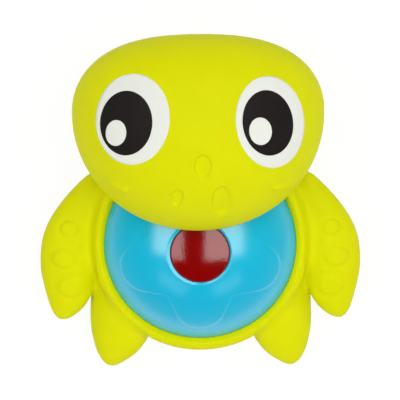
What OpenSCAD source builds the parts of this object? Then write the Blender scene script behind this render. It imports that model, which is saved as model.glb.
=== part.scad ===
// Squeaky bath toy: a soft vinyl turtle with a glossy shell dome and a push button over a squeaker.
// The toy rests on its flat belly. +Z runs up the button's axis, +Y points to the head and
// +X to the viewer's right. The origin is the centre of the belly.

/* [Torso] */
// Radius of the torso at its waist
torso_r = 36.9; // [36:0.1:38.5]
// Radius of the flat belly
belly_r = 22; // [18:0.5:25]
// Height of the waist
waist_h = 20.5; // [19:0.5:22]
// Height of the rim bead's centre above the waist
bead_rise = 3; // [2.5:0.1:4]
// Radius of the half-round rim bead
bead_r = 2.1; // [1.9:0.1:2.5]
// Wall of the vinyl skins
skin_t = 2.4; // [1.8:0.1:2.8]
// Vinyl left between the bead's centre and the dome's flange
lip_t = 1; // [0.8:0.1:1.5]

/* [Flippers] */
// Drop of the front flippers' middle below the waist
front_drop = 5.5; // [4:0.1:8]
// Drop of the rear flippers' middle below the waist
rear_drop = 7.5; // [6:0.1:9]
// Thickness of a flipper as a share of its width
flipper_flat_ratio = 0.65; // [0.5:0.01:0.8]
// Front flipper's shoulder: set out from the torso's side, set to the head, radius
front_shoulder = [-3.3, 17.1, 8.2]; // [-40:0.1:40]
// Front flipper's upper part, given the same way
front_upper = [4.4, 5.9, 10.2]; // [-40:0.1:40]
// Front flipper's middle
front_middle = [7.9, -3.5, 11.1]; // [-40:0.1:40]
// Front flipper's lower part
front_lower = [8.8, -17.2, 8.6]; // [-40:0.1:40]
// Front flipper's tip
front_tip = [10.5, -24.9, 3.2]; // [-40:0.1:40]
// Rear flipper's hip: sideways place, set out from the torso's tail end, radius
rear_hip = [26.2, -16.9, 12.2]; // [-40:0.1:40]
// Rear flipper's middle, given the same way
rear_middle = [28.2, -7.1, 10.4]; // [-40:0.1:40]
// Rear flipper's lower part
rear_lower = [29.6, -0.4, 7.6]; // [-40:0.1:40]
// Rear flipper's tip
rear_tip = [31.6, 4.7, 3]; // [-40:0.1:40]

/* [Head] */
// Width of the head
head_w = 85.2; // [80:0.2:91]
// Reach of the head above its centre, along the face
head_up = 24.2; // [22:0.1:27]
// Reach of the head below its centre, to the chin
head_down = 40.4; // [39:0.1:43]
// Reach of the head before and behind its centre
head_deep = 35.6; // [34:0.1:37]
// Squareness of the forehead, where 1 is an ellipse
crown_square_ratio = 1.16; // [1:0.01:1.4]
// Squareness of the chin, where 1 is an ellipse
chin_square_ratio = 1.02; // [1:0.01:1.2]
// Distance of the head's centre outside the torso's radius
head_out = 11; // [9.5:0.1:12]
// Depth of the head's curve that is cut off flat at the belly's height
head_sink = 2.2; // [1:0.1:3]
// Sideways set of the head
head_x = -0.7; // [-2:0.1:2]
// Backward tilt of the face
head_tilt = 20.5; // [17:0.5:24]
// Turn of the face to the viewer's right
head_turn = 2.8; // [0:0.1:4]
// Gap between the chin and the dome
chin_gap = 1.6; // [1:0.1:2]

/* [Neck] */
// Drop of the neck joint below the waist
neck_drop = 8; // [7.5:0.1:9]
// Radius of the neck collar's tube
neck_r = 4; // [3:0.1:4.5]
// Width of the neck collar's flanges
neck_flange_w = 2; // [1.5:0.1:2.5]
// Thickness of the neck collar's flanges
neck_flange_t = 1.5; // [1:0.1:2]
// Wall of the neck collar's tube
neck_wall = 1.4; // [1:0.1:1.8]

/* [Eyes] */
// Half the distance between the eyes as a share of the head's width
eye_out_ratio = 0.265; // [0.25:0.001:0.29]
// Sideways set of the eyes from the head's centre
eye_mid = 1.2; // [0:0.1:2]
// Set of the eyes below the head's centre as a share of the head's height
eye_low_ratio = 0.067; // [0.03:0.001:0.1]
// Set of the right eye below the left one
right_eye_drop = 0.7; // [0:0.1:2]
// Width of an eye as a share of the head's width
eye_w_ratio = 0.275; // [0.25:0.001:0.29]
// Height of an eye as a share of the head's height
eye_l_ratio = 0.463; // [0.43:0.001:0.49]
// Width and height of a pupil as shares of the eye
pupil_ratio = [0.716, 0.707]; // [0.5:0.001:0.8]
// Width and height of a glint as shares of the eye
glint_ratio = [0.31, 0.297]; // [0.2:0.001:0.4]
// Set of the left pupil in its eye as shares of the eye
left_pupil_ratio = [-0.092, -0.035]; // [-0.1:0.001:0.1]
// Set of the right pupil in its eye as shares of the eye
right_pupil_ratio = [-0.034, -0.006]; // [-0.1:0.001:0.1]
// Set of the left glint in its pupil as shares of the eye
left_glint_ratio = [-0.141, -0.108]; // [-0.2:0.001:0.2]
// Set of the right glint in its pupil as shares of the eye
right_glint_ratio = [-0.109, -0.101]; // [-0.2:0.001:0.2]
// Stretch of the left eye's print on the turned face
left_stretch_ratio = 1.04; // [0.9:0.01:1.1]
// Stretch of the right eye's print on the turned face
right_stretch_ratio = 0.96; // [0.9:0.01:1.1]
// Lean of each eye's top towards the middle
eye_lean = 4; // [0:0.5:8]
// Tilt of the printing direction
print_tilt = 11.5; // [5:0.5:15]
// Thickness of the printed ink
ink_t = 0.25; // [0.15:0.01:0.4]

/* [Shell dome] */
// Rise of the dome above its edge
dome_h = 16.2; // [15.6:0.1:17]
// Height of the dome's edge above the bead's centre
edge_rise = 1; // [0.5:0.1:1.5]
// Wall of the dome
dome_t = 2.2; // [1.8:0.1:2.6]
// Width of the dome's flange
rim_flange_w = 2.2; // [1.5:0.1:2.4]
// Thickness of the dome's flange
rim_flange_t = 1.6; // [1.2:0.1:2]
// Thickness of the gasket ring
gasket_t = 1.2; // [1:0.1:1.6]
// Number of petals of the raised flower
petals = 5; // [4:1:6]
// Radius of a petal's round end
petal_r = 9; // [8:0.1:10]
// Distance of that round end's middle from the button's axis
petal_reach = 19.3; // [18:0.1:20.5]
// Radius of the flower's middle, which the petals grow from
flower_r = 15; // [13:0.1:16]
// Height of the raised flower
petal_h = 0.4; // [0.2:0.05:0.6]

/* [Button] */
// Radius of the button
button_r = 10.1; // [9.5:0.1:11]
// Travel of the button
button_travel = 4; // [2.5:0.1:4.5]
// Wall of the button
button_t = 2.2; // [1.6:0.1:2.6]
// Length of the button's side that stays in the sleeve at full travel
guide_rest = 1.5; // [1.2:0.1:2]
// Width of the button's retaining flange
stop_w = 1.9; // [1.2:0.1:2.2]
// Thickness of the button's retaining flange
stop_t = 1.5; // [1:0.1:2]
// Depth of the presser below the retaining flange
presser_l = 1; // [0.5:0.1:1.5]
// Radius of the presser
presser_r = 4.5; // [3:0.1:6]
// Wall of the dome's sleeve round the button
sleeve_t = 2.7; // [2.5:0.1:3.2]
// Width of the bevel round the dome's hole
bevel_w = 0.9; // [0.6:0.1:1.4]
// Height of the wiper seal
seal_t = 1.4; // [1:0.1:1.8]
// Width of the wiper seal
seal_w = 1.4; // [1:0.1:1.6]
// Depth of the wiper seal below the dome's hole
seal_drop = 1.6; // [1.2:0.1:1.8]

/* [Squeaker] */
// Height of the bellows bulb
bulb_h = 14; // [12.5:0.1:14.5]
// Outer radius of the bulb's pleats
bulb_r = 13; // [11.5:0.1:14]
// Depth of the bulb's pleats
pleat_d = 2.2; // [1.6:0.1:2.6]
// Number of pleats
pleats = 3; // [2:1:4]
// Wall of the bulb
bulb_t = 1; // [0.7:0.1:1.2]
// Thickness of the tray's floor
tray_t = 1.6; // [1.2:0.1:2]
// Radius of the reed plug's body
plug_r = 5.4; // [4.8:0.1:6]
// Width of the reed plug's flange
plug_flange_w = 1.8; // [1.4:0.1:2.2]
// Thickness of the reed plug's flange
plug_flange_t = 1.2; // [0.8:0.1:1.6]
// Length of the tray's socket below its floor
socket_l = 2.4; // [1.6:0.1:3]
// Wall of the tray's socket
socket_t = 1.5; // [1.2:0.1:2]
// Length of the half-round tongue rest below the plug's body
rest_l = 6; // [5:0.1:6.4]
// Radius of the tongue rest
rest_r = 3.6; // [3:0.1:4]
// Radius of the air way
air_r = 2; // [1.5:0.1:2.2]
// Width of the reed
reed_w = 4.8; // [4:0.1:5.2]
// Thickness of the reed
reed_t = 0.3; // [0.2:0.05:0.5]
// Length of the reed cap
cap_l = 2; // [1.5:0.1:2.5]
// Wall of the reed cap
cap_t = 1.2; // [1:0.1:1.6]

/* [Screws] */
// Number of tray screws
screws = 3; // [3:1:4]
// Distance of a screw from the button's axis
screw_reach = 21.5; // [20.5:0.1:22.5]
// Radius of a screw's thread
screw_r = 1.25; // [1:0.05:1.5]
// Radius of a screw's head
screw_head_r = 2.4; // [2:0.1:2.8]
// Height of a screw's head
screw_head_t = 1.6; // [1.2:0.1:2]
// Length of a screw's thread in its boss
screw_l = 7; // [5:0.1:8]
// Wall of a screw boss
boss_t = 1.9; // [1.5:0.1:2.2]

/* [Clearances] */
// Gap between fixed pieces that seat on each other
seat_gap = 0.1; // [0.05:0.01:0.2]
// Gap round the sliding button
slide_gap = 0.3; // [0.2:0.01:0.4]
// Gap between the reed and its rest
reed_gap = 0.2; // [0.1:0.01:0.3]

/* [Hidden] */

$fn = 96;

LIME = [0.89, 0.9, 0.1];
BLUE = [0.1, 0.68, 0.81];
RED = [0.6, 0.02, 0.02];
INK_WHITE = [0.94, 0.94, 0.9];
INK_BLACK = [0.13, 0.12, 0.12];
CLEAR_VINYL = [0.9, 0.88, 0.8];
HIDDEN_PLASTIC = [0.85, 0.86, 0.88];
RUBBER = [0.25, 0.25, 0.27];
STEEL = [0.72, 0.73, 0.75];

// Steps that a round stretch of an outline is drawn in
arc_steps = 14;
// Points round a printed oval
oval_points = 48;
// Points round the head and rings along it
head_sides = 48;
head_rings = 22;
// Share of the face's height over which its squareness changes
square_blend = 1;
// Height on the face, as a share of the way to its edge, where that change is halfway
square_mid = 0.18;
// Share of the bowl's inner curve that the ramp to the shelf replaces
ramp_share = 0.25;
// Room that a cut runs past the face it opens
past = 1;

// Torso heights and radii, from the belly up
bead_h = waist_h + bead_rise;
bead_mid_r = torso_r - bead_r;
bowl_r = (pow(torso_r - belly_r, 2) + pow(waist_h, 2)) / (2 * (torso_r - belly_r));
bowl_mid_r = torso_r - bowl_r;
mouth_r = torso_r - 2 * bead_r;

// Dome: a cap of a ball on a skirt with a flange
edge_r = mouth_r - seat_gap;
edge_h = bead_h + edge_rise;
ball_r = (pow(edge_r, 2) + pow(dome_h, 2)) / (2 * dome_h);
ball_h = edge_h + dome_h - ball_r;
skirt_r = edge_r - dome_t;
flange_r = edge_r + rim_flange_w;
flange_top = bead_h - lip_t - seat_gap;
flange_low = flange_top - rim_flange_t;
shelf_h = flange_low - gasket_t;
shelf_t = skin_t;

// Button stack, from the dome's top down
guide_l = button_travel + guide_rest;
function dome_at(r, grow = 0) = ball_h + sqrt(pow(ball_r + grow, 2) - pow(r, 2));
hole_r = button_r + slide_gap;
sleeve_r = hole_r + sleeve_t;
button_edge = dome_at(button_r);
stop_top = button_edge - guide_l;
stop_low = stop_top - stop_t;
stop_r = button_r + stop_w;
sleeve_low = stop_top + slide_gap;
presser_low = stop_low - presser_l;
seal_top = dome_at(hole_r) - seal_drop;

// Squeaker stack, from the bulb's crown down
bulb_top = presser_low - slide_gap;
floor_top = bulb_top - bulb_h;
floor_low = floor_top - tray_t;
socket_low = floor_low - socket_l;
plug_low = socket_low;
rest_low = plug_low - rest_l;
plug_flange_r = plug_r + plug_flange_w;
bulb_mouth_r = plug_flange_r + seat_gap;
tray_r = bulb_r + bulb_t;
boss_r = screw_r + boss_t;
cap_top = plug_low - seat_gap;
cap_low = cap_top - cap_l;
cap_r = rest_r + seat_gap + cap_t;

// Head and eyes
head_y = torso_r + head_out;
head_z = head_deep - head_sink;
head_tall = head_up + head_down;
eye_size = [head_w * eye_w_ratio, head_tall * eye_l_ratio];

// Neck joint, along +Y
neck_h = waist_h - neck_drop;
neck_flange_r = neck_r + neck_flange_w;
pad_r = neck_flange_r + skin_t / 2;
function cavity_at(h) = bowl_mid_r + sqrt(pow(bowl_r - skin_t, 2) - pow(waist_h - h, 2));
pad_in = cavity_at(neck_h - neck_flange_r) - 2 * seat_gap;
pad_out = torso_r + skin_t / 4;
neck_head_y = pad_out + seat_gap + skin_t;

// Flippers as chains of balls: sideways place, lengthwise place and radius
front_h = waist_h - front_drop;
rear_h = waist_h - rear_drop;
front_chain = [for (ball = [front_shoulder, front_upper, front_middle, front_lower, front_tip])
    [torso_r + ball.x, ball.y, ball.z]];
rear_chain = [for (ball = [rear_hip, rear_middle, rear_lower, rear_tip])
    [ball.x, -torso_r - ball.y, ball.z]];

// Prints, left then right: each eye's place on the face, its pupil's and its glint's, and its stretch
eye_spot = [[eye_mid - head_w * eye_out_ratio, -head_tall * eye_low_ratio],
    [eye_mid + head_w * eye_out_ratio, -head_tall * eye_low_ratio - right_eye_drop]];
pupil_set = [left_pupil_ratio, right_pupil_ratio];
glint_set = [left_pupil_ratio + left_glint_ratio, right_pupil_ratio + right_glint_ratio];
print_stretch = [left_stretch_ratio, right_stretch_ratio];
left = 0;
right = 1;

// Points along an arc in a section
function arc(mid, r, from, to) =
    [for (i = [0:arc_steps]) let (a = from + (to - from) * i / arc_steps) mid + r * [cos(a), sin(a)]];

// Outline of a half section of the torso's outside, moved out by grow
function torso_outline(grow = 0) =
    let (low = asin(waist_h / (bowl_r + grow)))
    concat([[0, 0]], arc([bowl_mid_r, waist_h], bowl_r + grow, -low, 0),
        arc([bead_mid_r, bead_h], bead_r + grow, 0, 90), [[0, bead_h + bead_r + grow]]);

// Outline of a half section of the dome's ball, from its edge to the axis
function dome_outline(grow, edge) =
    let (rim = asin(edge / (ball_r + grow)))
    arc([0, ball_h], ball_r + grow, 90 - rim, 90);

// One superellipsoid head, moved out by grow: its reach along a direction, then its points
function ease(t) = let (s = min(max(t, 0), 1)) s * s * (3 - 2 * s);
function head_square(d) =
    2 * (chin_square_ratio + (crown_square_ratio - chin_square_ratio) * ease((d.y - square_mid) / square_blend + 0.5));
function head_reach(d, grow) =
    let (
        p = head_square(d),
        tall = (d.y > 0 ? head_up : head_down) + grow
    )
    pow(pow(abs(d.x) / (head_w / 2 + grow), p) + pow(abs(d.y) / tall, p)
        + pow(abs(d.z) / (head_deep + grow), p), -1 / p);

module head_form(grow = 0) {
    ring = [for (j = [1:head_rings - 1]) for (i = [0:head_sides - 1])
        let (
            lat = 180 * j / head_rings,
            lon = 360 * i / head_sides,
            d = [sin(lat) * cos(lon), sin(lat) * sin(lon), cos(lat)]
        )
        d * head_reach(d, grow)];
    front = len(ring);
    points = concat(ring, [[0, 0, head_deep + grow], [0, 0, -head_deep - grow]]);
    last = (head_rings - 2) * head_sides;
    sides = [for (j = [0:head_rings - 3]) for (i = [0:head_sides - 1])
        let (
            k = (i + 1) % head_sides,
            a = j * head_sides,
            b = a + head_sides
        )
        each [[a + i, a + k, b + i], [a + k, b + k, b + i]]];
    caps = [for (i = [0:head_sides - 1])
        let (k = (i + 1) % head_sides)
        each [[front, k, i], [front + 1, last + i, last + k]]];
    polyhedron(points, concat(sides, caps));
}

module head_place() {
    translate([head_x, head_y, head_z]) rotate([-head_tilt, head_turn, 0]) children();
}

// Room that the torso and the dome take up, which the head is cut to
module body_room(gap, dome_gap) {
    rotate_extrude() polygon(torso_outline(gap));
    rotate_extrude() polygon(concat([[0, waist_h], [mouth_r, waist_h]], dome_outline(dome_gap, mouth_r)));
    neck_pad(gap);
}

module neck_pad(grow = 0) {
    translate([0, pad_in, neck_h]) rotate([-90, 0, 0])
        cylinder(h = pad_out - pad_in + grow, r = pad_r + grow);
}

module neck_bore(grow = 0) {
    translate([0, pad_in - past, neck_h]) rotate([-90, 0, 0])
        cylinder(h = neck_head_y - pad_in + 2 * past, r = neck_r + grow);
}

module flipper(chain, height, grow = 0) {
    translate([0, 0, height]) hull() for (ball = chain)
        translate([ball.x, ball.y, 0]) scale([1, 1, flipper_flat_ratio]) sphere(r = ball.z + grow, $fn = 32);
}

module flippers(grow = 0) {
    for (side = [0, 1]) mirror([side, 0, 0]) {
        flipper(front_chain, front_h, grow);
        flipper(rear_chain, rear_h, grow);
    }
}

// Vinyl moulding of the torso and the four flippers
module body_skin() {
    inner = asin((waist_h - skin_t) / (bowl_r - skin_t));
    cavity = concat([[0, skin_t]], arc([bowl_mid_r, waist_h], bowl_r - skin_t, -inner, -inner * ramp_share),
        [[skirt_r, shelf_h - shelf_t], [skirt_r, shelf_h], [flange_r + seat_gap, shelf_h],
        [flange_r + seat_gap, flange_top + seat_gap], [mouth_r, flange_top + seat_gap]],
        arc([bead_mid_r, bead_h], bead_r, 180, 90),
        [[bead_mid_r, bead_h + bead_r + past], [0, bead_h + bead_r + past]]);
    color(LIME) difference() {
        union() {
            rotate_extrude() polygon(torso_outline());
            flippers();
            neck_pad();
        }
        difference() {
            rotate_extrude() polygon(cavity);
            neck_pad();
        }
        neck_bore(seat_gap);
    }
}

// Vinyl moulding of the head, cut to the torso and the dome
module head_skin() {
    color(LIME) difference() {
        head_place() head_form();
        difference() {
            head_place() head_form(-skin_t);
            body_room(seat_gap + skin_t, chin_gap + skin_t);
            translate([-head_w, -head_w, 0]) cube([2 * head_w, 3 * head_w, skin_t]);
        }
        body_room(seat_gap, chin_gap);
        neck_bore(seat_gap);
        translate([-head_w, -head_w, -head_w]) cube([2 * head_w, 3 * head_w, head_w]);
    }
}

// Spool that joins the head's wall to the torso's pad and lets air pass
module neck_collar() {
    inner = pad_in - seat_gap - neck_flange_t;
    outer = neck_head_y + seat_gap + neck_flange_t;
    color(LIME) translate([0, inner, neck_h]) rotate([-90, 0, 0]) difference() {
        union() {
            cylinder(h = outer - inner, r = neck_r);
            cylinder(h = neck_flange_t, r = neck_flange_r);
            translate([0, 0, outer - inner - neck_flange_t]) cylinder(h = neck_flange_t, r = neck_flange_r);
        }
        translate([0, 0, -past]) cylinder(h = outer - inner + 2 * past, r = neck_r - neck_wall);
    }
}

// Oval column along the printing direction, set in one eye and sized as shares of it
module oval(eye, set = [0, 0], size = [1, 1]) {
    half = [size.x * eye_size.x * print_stretch[eye], size.y * eye_size.y] / 2;
    spot = eye_spot[eye] + [set.x * eye_size.x, set.y * eye_size.y];
    translate([head_x, head_y, head_z]) rotate([-print_tilt, 0, 0])
        translate(spot) rotate(eye == left ? -eye_lean : eye_lean)
            linear_extrude(2 * head_deep)
                polygon([for (i = [0:oval_points - 1])
                    let (a = 360 * i / oval_points) [half.x * cos(a), half.y * sin(a)]]);
}

module ink_layer() {
    difference() {
        head_place() head_form(ink_t);
        head_place() head_form();
    }
}

module eye_white(eye) {
    color(INK_WHITE) difference() {
        intersection() {
            ink_layer();
            oval(eye);
        }
        oval(eye, pupil_set[eye], pupil_ratio);
    }
}

module pupil(eye) {
    color(INK_BLACK) difference() {
        intersection() {
            ink_layer();
            oval(eye, pupil_set[eye], pupil_ratio);
        }
        oval(eye, glint_set[eye], glint_ratio);
    }
}

module glint(eye) {
    color(INK_WHITE) intersection() {
        ink_layer();
        oval(eye, glint_set[eye], glint_ratio);
    }
}

// Turn of each copy round the button's axis, the first one towards the tail
function turn_of(i, count) = 270 + 360 * i / count;

module at_screws() {
    for (i = [0:screws - 1]) rotate(turn_of(i, screws)) translate([screw_reach, 0, 0]) children();
}

// Plan of the flower: each petal narrows from the middle to its round end
module flower_plan() {
    for (i = [0:petals - 1]) hull() {
        circle(r = flower_r);
        rotate(turn_of(i, petals)) translate([petal_reach, 0]) circle(r = petal_r);
    }
}

// Half section of the dome's ball down to a flat, sunk by depth
module dome_core(depth, low) {
    rotate_extrude() polygon(concat([[0, low], [edge_r, low]], dome_outline(-depth, edge_r)));
}

// Flower raised on the dome
module flower() {
    intersection() {
        dome_core(-petal_h, edge_h);
        difference() {
            translate([0, 0, edge_h]) linear_extrude(dome_h) flower_plan();
            dome_core(dome_t / 2, 0);
        }
    }
}

// Sleeve that guides the button, and the bosses that the tray hangs on
module sleeve_and_bosses() {
    intersection() {
        dome_core(dome_t / 2, 0);
        union() {
            translate([0, 0, sleeve_low]) cylinder(h = ball_r, r = sleeve_r);
            at_screws() translate([0, 0, floor_top]) cylinder(h = ball_r, r = boss_r);
        }
    }
}

// Rigid shell: a cap with a flanged skirt, a sleeve for the button and bosses for the tray
module shell_dome() {
    rim = asin(skirt_r / (ball_r - dome_t));
    outside = concat([[0, flange_low], [flange_r, flange_low], [flange_r, flange_top], [edge_r, flange_top]],
        dome_outline(0, edge_r));
    inside = concat([[0, flange_low - past], [skirt_r, flange_low - past]],
        arc([0, ball_h], ball_r - dome_t, 90 - rim, 90));
    color(BLUE) difference() {
        union() {
            difference() {
                rotate_extrude() polygon(outside);
                rotate_extrude() polygon(inside);
            }
            flower();
            sleeve_and_bosses();
        }
        translate([0, 0, floor_low]) cylinder(h = ball_r, r = hole_r);
        translate([0, 0, dome_at(hole_r + bevel_w) - bevel_w])
            cylinder(h = 2 * bevel_w, r1 = hole_r, r2 = hole_r + 2 * bevel_w);
        translate([0, 0, seal_top - seal_t]) cylinder(h = seal_t, r = hole_r + seal_w);
        at_screws() translate([0, 0, floor_top - past])
            cylinder(h = screw_l + 2 * past, r = screw_r + seat_gap);
    }
}

// Ring that seals the dome's flange on the torso's shelf
module dome_gasket() {
    color(RUBBER) translate([0, 0, shelf_h]) difference() {
        cylinder(h = gasket_t, r = flange_r);
        translate([0, 0, -past]) cylinder(h = gasket_t + 2 * past, r = skirt_r + seat_gap);
    }
}

// Push button: a cup with a domed top, a retaining flange and a presser
module button() {
    top = concat([[0, stop_low], [button_r, stop_low]], dome_outline(0, button_r));
    well = concat([[presser_r, stop_low - past], [button_r - button_t, stop_low - past]],
        arc([0, ball_h], ball_r - button_t, 90 - asin((button_r - button_t) / (ball_r - button_t)),
            90 - asin(presser_r / (ball_r - button_t))));
    color(RED) difference() {
        union() {
            rotate_extrude() polygon(top);
            translate([0, 0, stop_low]) cylinder(h = stop_t, r = stop_r);
            translate([0, 0, presser_low]) cylinder(h = presser_l + past, r = presser_r);
        }
        rotate_extrude() polygon(well);
    }
}

// Wiper ring in the sleeve's groove round the button
module button_seal() {
    color(RUBBER) translate([0, 0, seal_top - seal_t]) difference() {
        cylinder(h = seal_t, r = hole_r + seal_w);
        translate([0, 0, -past]) cylinder(h = seal_t + 2 * past, r = button_r + slide_gap / 2);
    }
}

// Tray that hangs on the dome's bosses and carries the squeaker
module squeaker_tray() {
    color(HIDDEN_PLASTIC) difference() {
        union() {
            translate([0, 0, floor_low]) cylinder(h = tray_t, r = tray_r);
            translate([0, 0, socket_low])
                cylinder(h = socket_l + tray_t / 2, r = plug_r + seat_gap + socket_t);
            at_screws() translate([0, 0, floor_low]) {
                cylinder(h = tray_t, r = boss_r);
                translate([-screw_reach, -boss_r, 0]) cube([screw_reach, 2 * boss_r, tray_t]);
            }
        }
        translate([0, 0, socket_low - past])
            cylinder(h = socket_l + tray_t + 2 * past, r = plug_r + seat_gap);
        at_screws() translate([0, 0, floor_low - past])
            cylinder(h = tray_t + 2 * past, r = screw_r + seat_gap);
    }
}

// Screws that hold the tray on the bosses, driven from below
module tray_screws() {
    color(STEEL) at_screws() {
        translate([0, 0, floor_low - screw_head_t]) cylinder(h = screw_head_t, r = screw_head_r);
        translate([0, 0, floor_low - screw_head_t / 2])
            cylinder(h = screw_head_t / 2 + tray_t + screw_l, r = screw_r);
    }
}

// Pleated bulb, open below round the plug's flange
module squeaker_bulb() {
    steps = 2 * pleats;
    valley_r = bulb_r - pleat_d - bulb_t;
    function pleat(i, inset) =
        [bulb_r - inset - (i % 2 == 0 ? pleat_d : 0), floor_top + bulb_h * i / steps];
    color(CLEAR_VINYL) rotate_extrude() polygon(concat(
        [for (i = [0:steps]) pleat(i, 0)],
        [[0, bulb_top], [0, bulb_top - bulb_t], [valley_r, bulb_top - bulb_t]],
        [for (i = [steps - 1:-1:1]) pleat(i, bulb_t)],
        [[valley_r, floor_top + bulb_t], [bulb_mouth_r, floor_top + bulb_t], [bulb_mouth_r, floor_top]]));
}

// Plug in the tray's socket, with a half-round rest for the reed
module reed_plug() {
    color(HIDDEN_PLASTIC) difference() {
        union() {
            translate([0, 0, floor_top]) cylinder(h = plug_flange_t, r = plug_flange_r);
            translate([0, 0, plug_low]) cylinder(h = floor_top + plug_flange_t - plug_low, r = plug_r);
            intersection() {
                translate([0, 0, rest_low]) cylinder(h = rest_l + past, r = rest_r);
                translate([-rest_r, 0, rest_low]) cube([2 * rest_r, rest_r, rest_l + past]);
            }
        }
        translate([0, 0, rest_low + cap_t]) cylinder(h = ball_r, r = air_r);
    }
}

// Springy tongue that lies over the rest's air way
module reed() {
    color(HIDDEN_PLASTIC) translate([-reed_w / 2, -reed_gap - reed_t, rest_low])
        cube([reed_w, reed_t, rest_l - seat_gap]);
}

// Ring that holds the reed's root to the plug
module reed_cap() {
    color(HIDDEN_PLASTIC) difference() {
        translate([0, 0, cap_low]) cylinder(h = cap_l, r = cap_r);
        translate([0, 0, cap_low - past]) intersection() {
            cylinder(h = cap_l + 2 * past, r = rest_r + seat_gap);
            translate([-cap_r, -2 * reed_gap - reed_t, 0]) cube([2 * cap_r, 2 * cap_r, cap_l + 2 * past]);
        }
    }
}

body_skin();
head_skin();
neck_collar();
eye_white(left);  // left_eye_white
eye_white(right);  // right_eye_white
pupil(left);  // left_pupil
pupil(right);  // right_pupil
glint(left);  // left_glint
glint(right);  // right_glint
shell_dome();
dome_gasket();
button();
button_seal();
squeaker_tray();
tray_screws();
squeaker_bulb();
reed_plug();
reed();
reed_cap();
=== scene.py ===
# %% [markdown]
# # A squeaky bath toy
# The toy is a soft vinyl turtle with a glossy shell and a push button over a squeaker. The packed
# model gives every piece its place. This lesson models the pieces that show, and the bulb, once
# more with the soft forms of moulded vinyl, and gives every piece its finish. Lengths on the toy are
# in millimetres and become metres through MM, because Blender works in metres here. Lengths in the
# room round it are in metres, and places in the photograph are in its pixels.

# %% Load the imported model
import math

import bpy
import numpy as np
from mathutils import Matrix, Vector


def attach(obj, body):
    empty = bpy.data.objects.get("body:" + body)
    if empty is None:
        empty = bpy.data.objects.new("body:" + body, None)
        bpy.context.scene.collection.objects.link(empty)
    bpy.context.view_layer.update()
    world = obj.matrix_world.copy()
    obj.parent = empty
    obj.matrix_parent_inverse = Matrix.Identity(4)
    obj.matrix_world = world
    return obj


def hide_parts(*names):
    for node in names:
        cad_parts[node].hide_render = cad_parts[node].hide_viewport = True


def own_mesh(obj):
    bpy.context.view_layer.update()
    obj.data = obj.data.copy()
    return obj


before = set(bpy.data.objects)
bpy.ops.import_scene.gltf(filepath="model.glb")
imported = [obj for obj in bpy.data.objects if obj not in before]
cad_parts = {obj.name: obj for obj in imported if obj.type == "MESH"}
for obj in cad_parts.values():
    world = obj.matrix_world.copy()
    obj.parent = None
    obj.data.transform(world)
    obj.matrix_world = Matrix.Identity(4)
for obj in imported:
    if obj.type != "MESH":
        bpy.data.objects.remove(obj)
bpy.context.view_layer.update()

MM = 0.001
print("pieces in the packed model:", len(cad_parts))

# %% [markdown]
# ## The camera
# The toy lies on a table and is seen from almost straight above, a little from the head's side. A
# long lens a metre away keeps the outlines nearly parallel, as in the photograph. The camera could
# be aimed with a tracking constraint, but it looks almost straight down, where tracking may pick
# the wrong way up, so its three axes are written out.

# %% Camera
FRAME_PX = 400
PX = 0.344 * MM
LOOK_TILT = math.radians(11.5)
LOOK_FROM = 1.0
SENSOR_W = 36
shell_middle = Vector((0, 0, 24 * MM))
shell_middle_px = (200.15, 244.2)

towards = Vector((0, math.sin(LOOK_TILT), math.cos(LOOK_TILT)))
eye_point = shell_middle + towards * LOOK_FROM
sideways = Vector((1, 0, 0))
upwards = towards.cross(sideways)
aim = (shell_middle + upwards * (shell_middle_px[1] - FRAME_PX / 2) * PX
       - sideways * (shell_middle_px[0] - FRAME_PX / 2) * PX)
back = (eye_point - aim).normalized()
sideways = upwards.cross(back).normalized()
upwards = back.cross(sideways)

camera_data = bpy.data.cameras.new("camera")
camera_data.sensor_width = SENSOR_W
camera_data.lens = SENSOR_W * (eye_point - aim).length / (FRAME_PX * PX)
camera = bpy.data.objects.new("camera", camera_data)
camera_turn = Matrix((sideways, upwards, back)).transposed().to_4x4()
camera.matrix_world = Matrix.Translation(eye_point) @ camera_turn
bpy.context.scene.collection.objects.link(camera)
bpy.context.scene.camera = camera
bpy.context.scene.view_settings.view_transform = "Standard"


def seen(points):
    """Where points in metres fall in the photograph, in its pixels."""
    rel = np.asarray(points) - np.array(eye_point)
    far = -(rel @ np.array(back))
    scale = FRAME_PX * camera_data.lens / SENSOR_W
    return np.stack([FRAME_PX / 2 + scale * (rel @ np.array(sideways)) / far,
                     FRAME_PX / 2 - scale * (rel @ np.array(upwards)) / far], axis=-1)


print("the shell's middle falls at", seen([shell_middle]).round(1))

# %% [markdown]
# ## The table and the light
# The photograph shows white all round and two broad soft lights whose square reflections lie left
# and right of the button. Two large area lamps overhead give both the even light and those
# reflections. The table is a plain pale plane. Rays from the camera see it glow white, and a share of
# the true shading is mixed in so that the toy keeps its shadow. Rays that glossy surfaces throw back
# see it a little dimmer, and dimmer still far from the toy, where the lamps don't reach. Two dim
# panels on the tail's side give the faint lower reflections. The room's walls add light from the
# sides, most of it from the tail's, and glossy pieces see them fade into a dark ceiling.

# %% Table
TABLE_SIZE = 6
TABLE_PALE = (0.95, 0.95, 0.95, 1)
TABLE_WHITE = 1.03
TABLE_GLOW = 0.88
TABLE_THROWN = 0.75
TABLE_NEAR = 0.1
TABLE_FAR = 0.8
ROOM_EDGE = 0.2

bpy.ops.object.select_all(action="DESELECT")
bpy.ops.mesh.primitive_plane_add(size=TABLE_SIZE, location=(0, 0, 0))
table = bpy.context.object
table.name = "table"

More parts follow.
